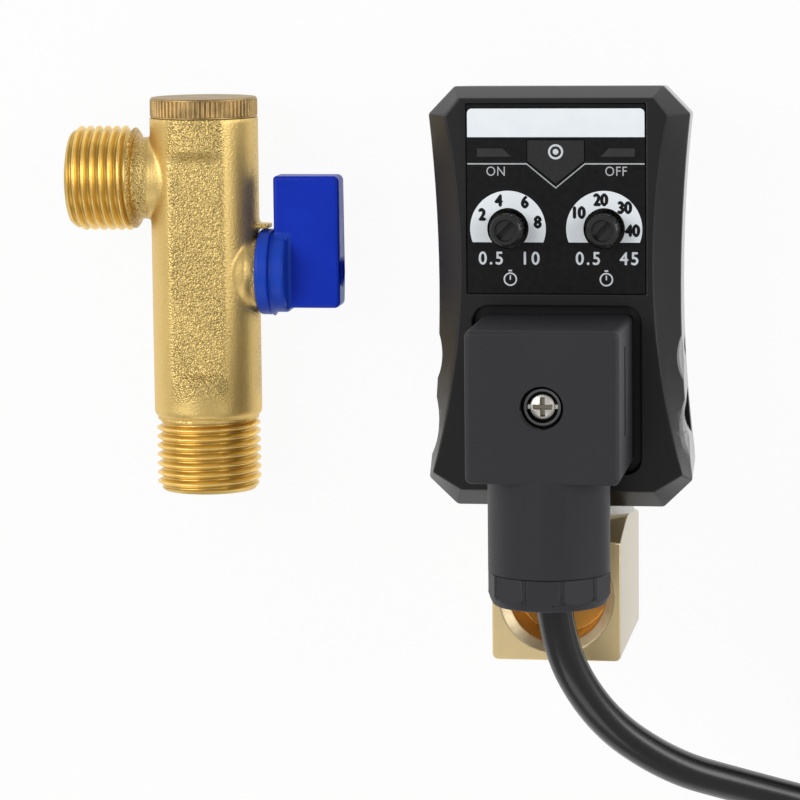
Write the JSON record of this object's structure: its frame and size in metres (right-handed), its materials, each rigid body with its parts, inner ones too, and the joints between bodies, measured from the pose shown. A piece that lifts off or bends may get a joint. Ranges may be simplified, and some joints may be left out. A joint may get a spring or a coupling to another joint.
{
  "type": "automatic drain valve",
  "caption": "Timed solenoid drain valve with control panel, plug connector and mains lead, and a lever strainer ball valve that screws on ahead of it.",
  "frame": {"origin": "centre of the inlet port's mouth at the back of the brass solenoid valve block, on the table that the set lies on", "axes": "+X across the control panel to its right, +Y towards the panel's top edge, +Z out of the panel's face"},
  "size_m": [0.2581, 0.156, 0.063],
  "materials": {
    "brass_block": "machined",
    "brass_cast": "blasted",
    "brass_knurled": "turned",
    "plated_steel": "satin",
    "steel": "satin",
    "case_black": "satin",
    "connector_grey": "matte",
    "label_black": "gloss",
    "dial_black": "matte",
    "window_smoke": "gloss",
    "handle_blue": "satin",
    "cable_black": "gloss",
    "seal_rubber": "matte",
    "seat_white": "satin",
    "board_green": "satin",
    "copper": "satin",
    "contact_tin": "satin",
    "led_clear": "gloss"
  },
  "bodies": {
    "base": {"valve_block": "brass_block", "flange_seal": "seal_rubber", "guide_tube": "plated_steel", "fixed_core": "steel", "plunger_spring": "steel", "coil_bobbin": "connector_grey", "coil_winding": "copper", "coil_yoke": "plated_steel", "coil_washer": "plated_steel", "coil_nut": "plated_steel", "front_cover": "case_black", "rear_case": "case_black", "case_screws": "plated_steel", "label_film": "label_black", "off_window": "window_smoke", "on_window": "window_smoke", "test_switch": "connector_grey", "on_time_trimmer": "connector_grey", "off_time_trimmer": "connector_grey", "circuit_board": "board_green", "off_led": "led_clear", "on_led": "led_clear", "pin_base": "case_black", "contact_blades": "contact_tin", "connector_gasket": "seal_rubber", "connector_cap": "connector_grey", "terminal_block": "case_black", "screw_cup": "plated_steel", "connector_screw": "plated_steel", "gland_washer": "plated_steel", "gland_grommet": "seal_rubber", "gland_nut": "connector_grey", "lead": "cable_black", "lead_coil": "cable_black", "lead_tie": "connector_grey", "lead_tail": "cable_black", "mains_plug": "cable_black", "mains_pins": "contact_tin", "strainer_body": "brass_cast", "seat_lower": "seat_white", "seat_upper": "seat_white", "seat_retainer": "brass_knurled", "cap_seal": "seal_rubber", "stem_packing": "seat_white"},
    "handle": {"handle": "handle_blue", "handle_screw": "steel", "stem": "brass_cast", "ball": "plated_steel"},
    "strainer_screen": {"screen_tube": "steel"},
    "strainer_cap": {"strainer_cap": "brass_knurled"},
    "on_time_knob": {"on_time_knob": "dial_black"},
    "off_time_knob": {"off_time_knob": "dial_black"},
    "test_key": {"test_key": "label_black"},
    "plunger": {"plunger": "steel", "plunger_seal": "seal_rubber"}
  },
  "joints": [
    {"name": "handle_turn", "type": "hinge", "parent": "base", "child": "handle", "pos_m": [-0.0736, 0.0599, 0.01085], "axis": [1, 0, 0], "range_deg": [0, 90]},
    {"name": "cap_lift", "type": "slide", "parent": "base", "child": "strainer_screen", "axis": [0, 1, 0], "range_m": [0, 0.006]},
    {"name": "cap_turn", "type": "hinge", "parent": "strainer_screen", "child": "strainer_cap", "pos_m": [-0.0736, 0.0897, 0.01085], "axis": [0, 1, 0], "range_deg": [0, 1440]},
    {"name": "on_time_turn", "type": "hinge", "parent": "base", "child": "on_time_knob", "pos_m": [-0.00925, 0.071, 0.037], "axis": [0, 0, 1], "range_deg": [-270, 0]},
    {"name": "off_time_turn", "type": "hinge", "parent": "base", "child": "off_time_knob", "pos_m": [0.00925, 0.071, 0.037], "axis": [0, 0, 1], "range_deg": [-270, 0]},
    {"name": "test_press", "type": "slide", "parent": "base", "child": "test_key", "axis": [0, 0, -1], "range_m": [0, 0.0003], "stiffness_N_per_m": 2000},
    {"name": "plunger_lift", "type": "slide", "parent": "base", "child": "plunger", "axis": [0, 1, 0], "range_m": [0, 0.002], "stiffness_N_per_m": 800, "springref_m": -0.001, "deforming": ["plunger_spring"]}
  ],
  "couplings": [
    {"joint": "cap_turn", "follows": "cap_lift", "rad_per_m": 4188.8}
  ]
}
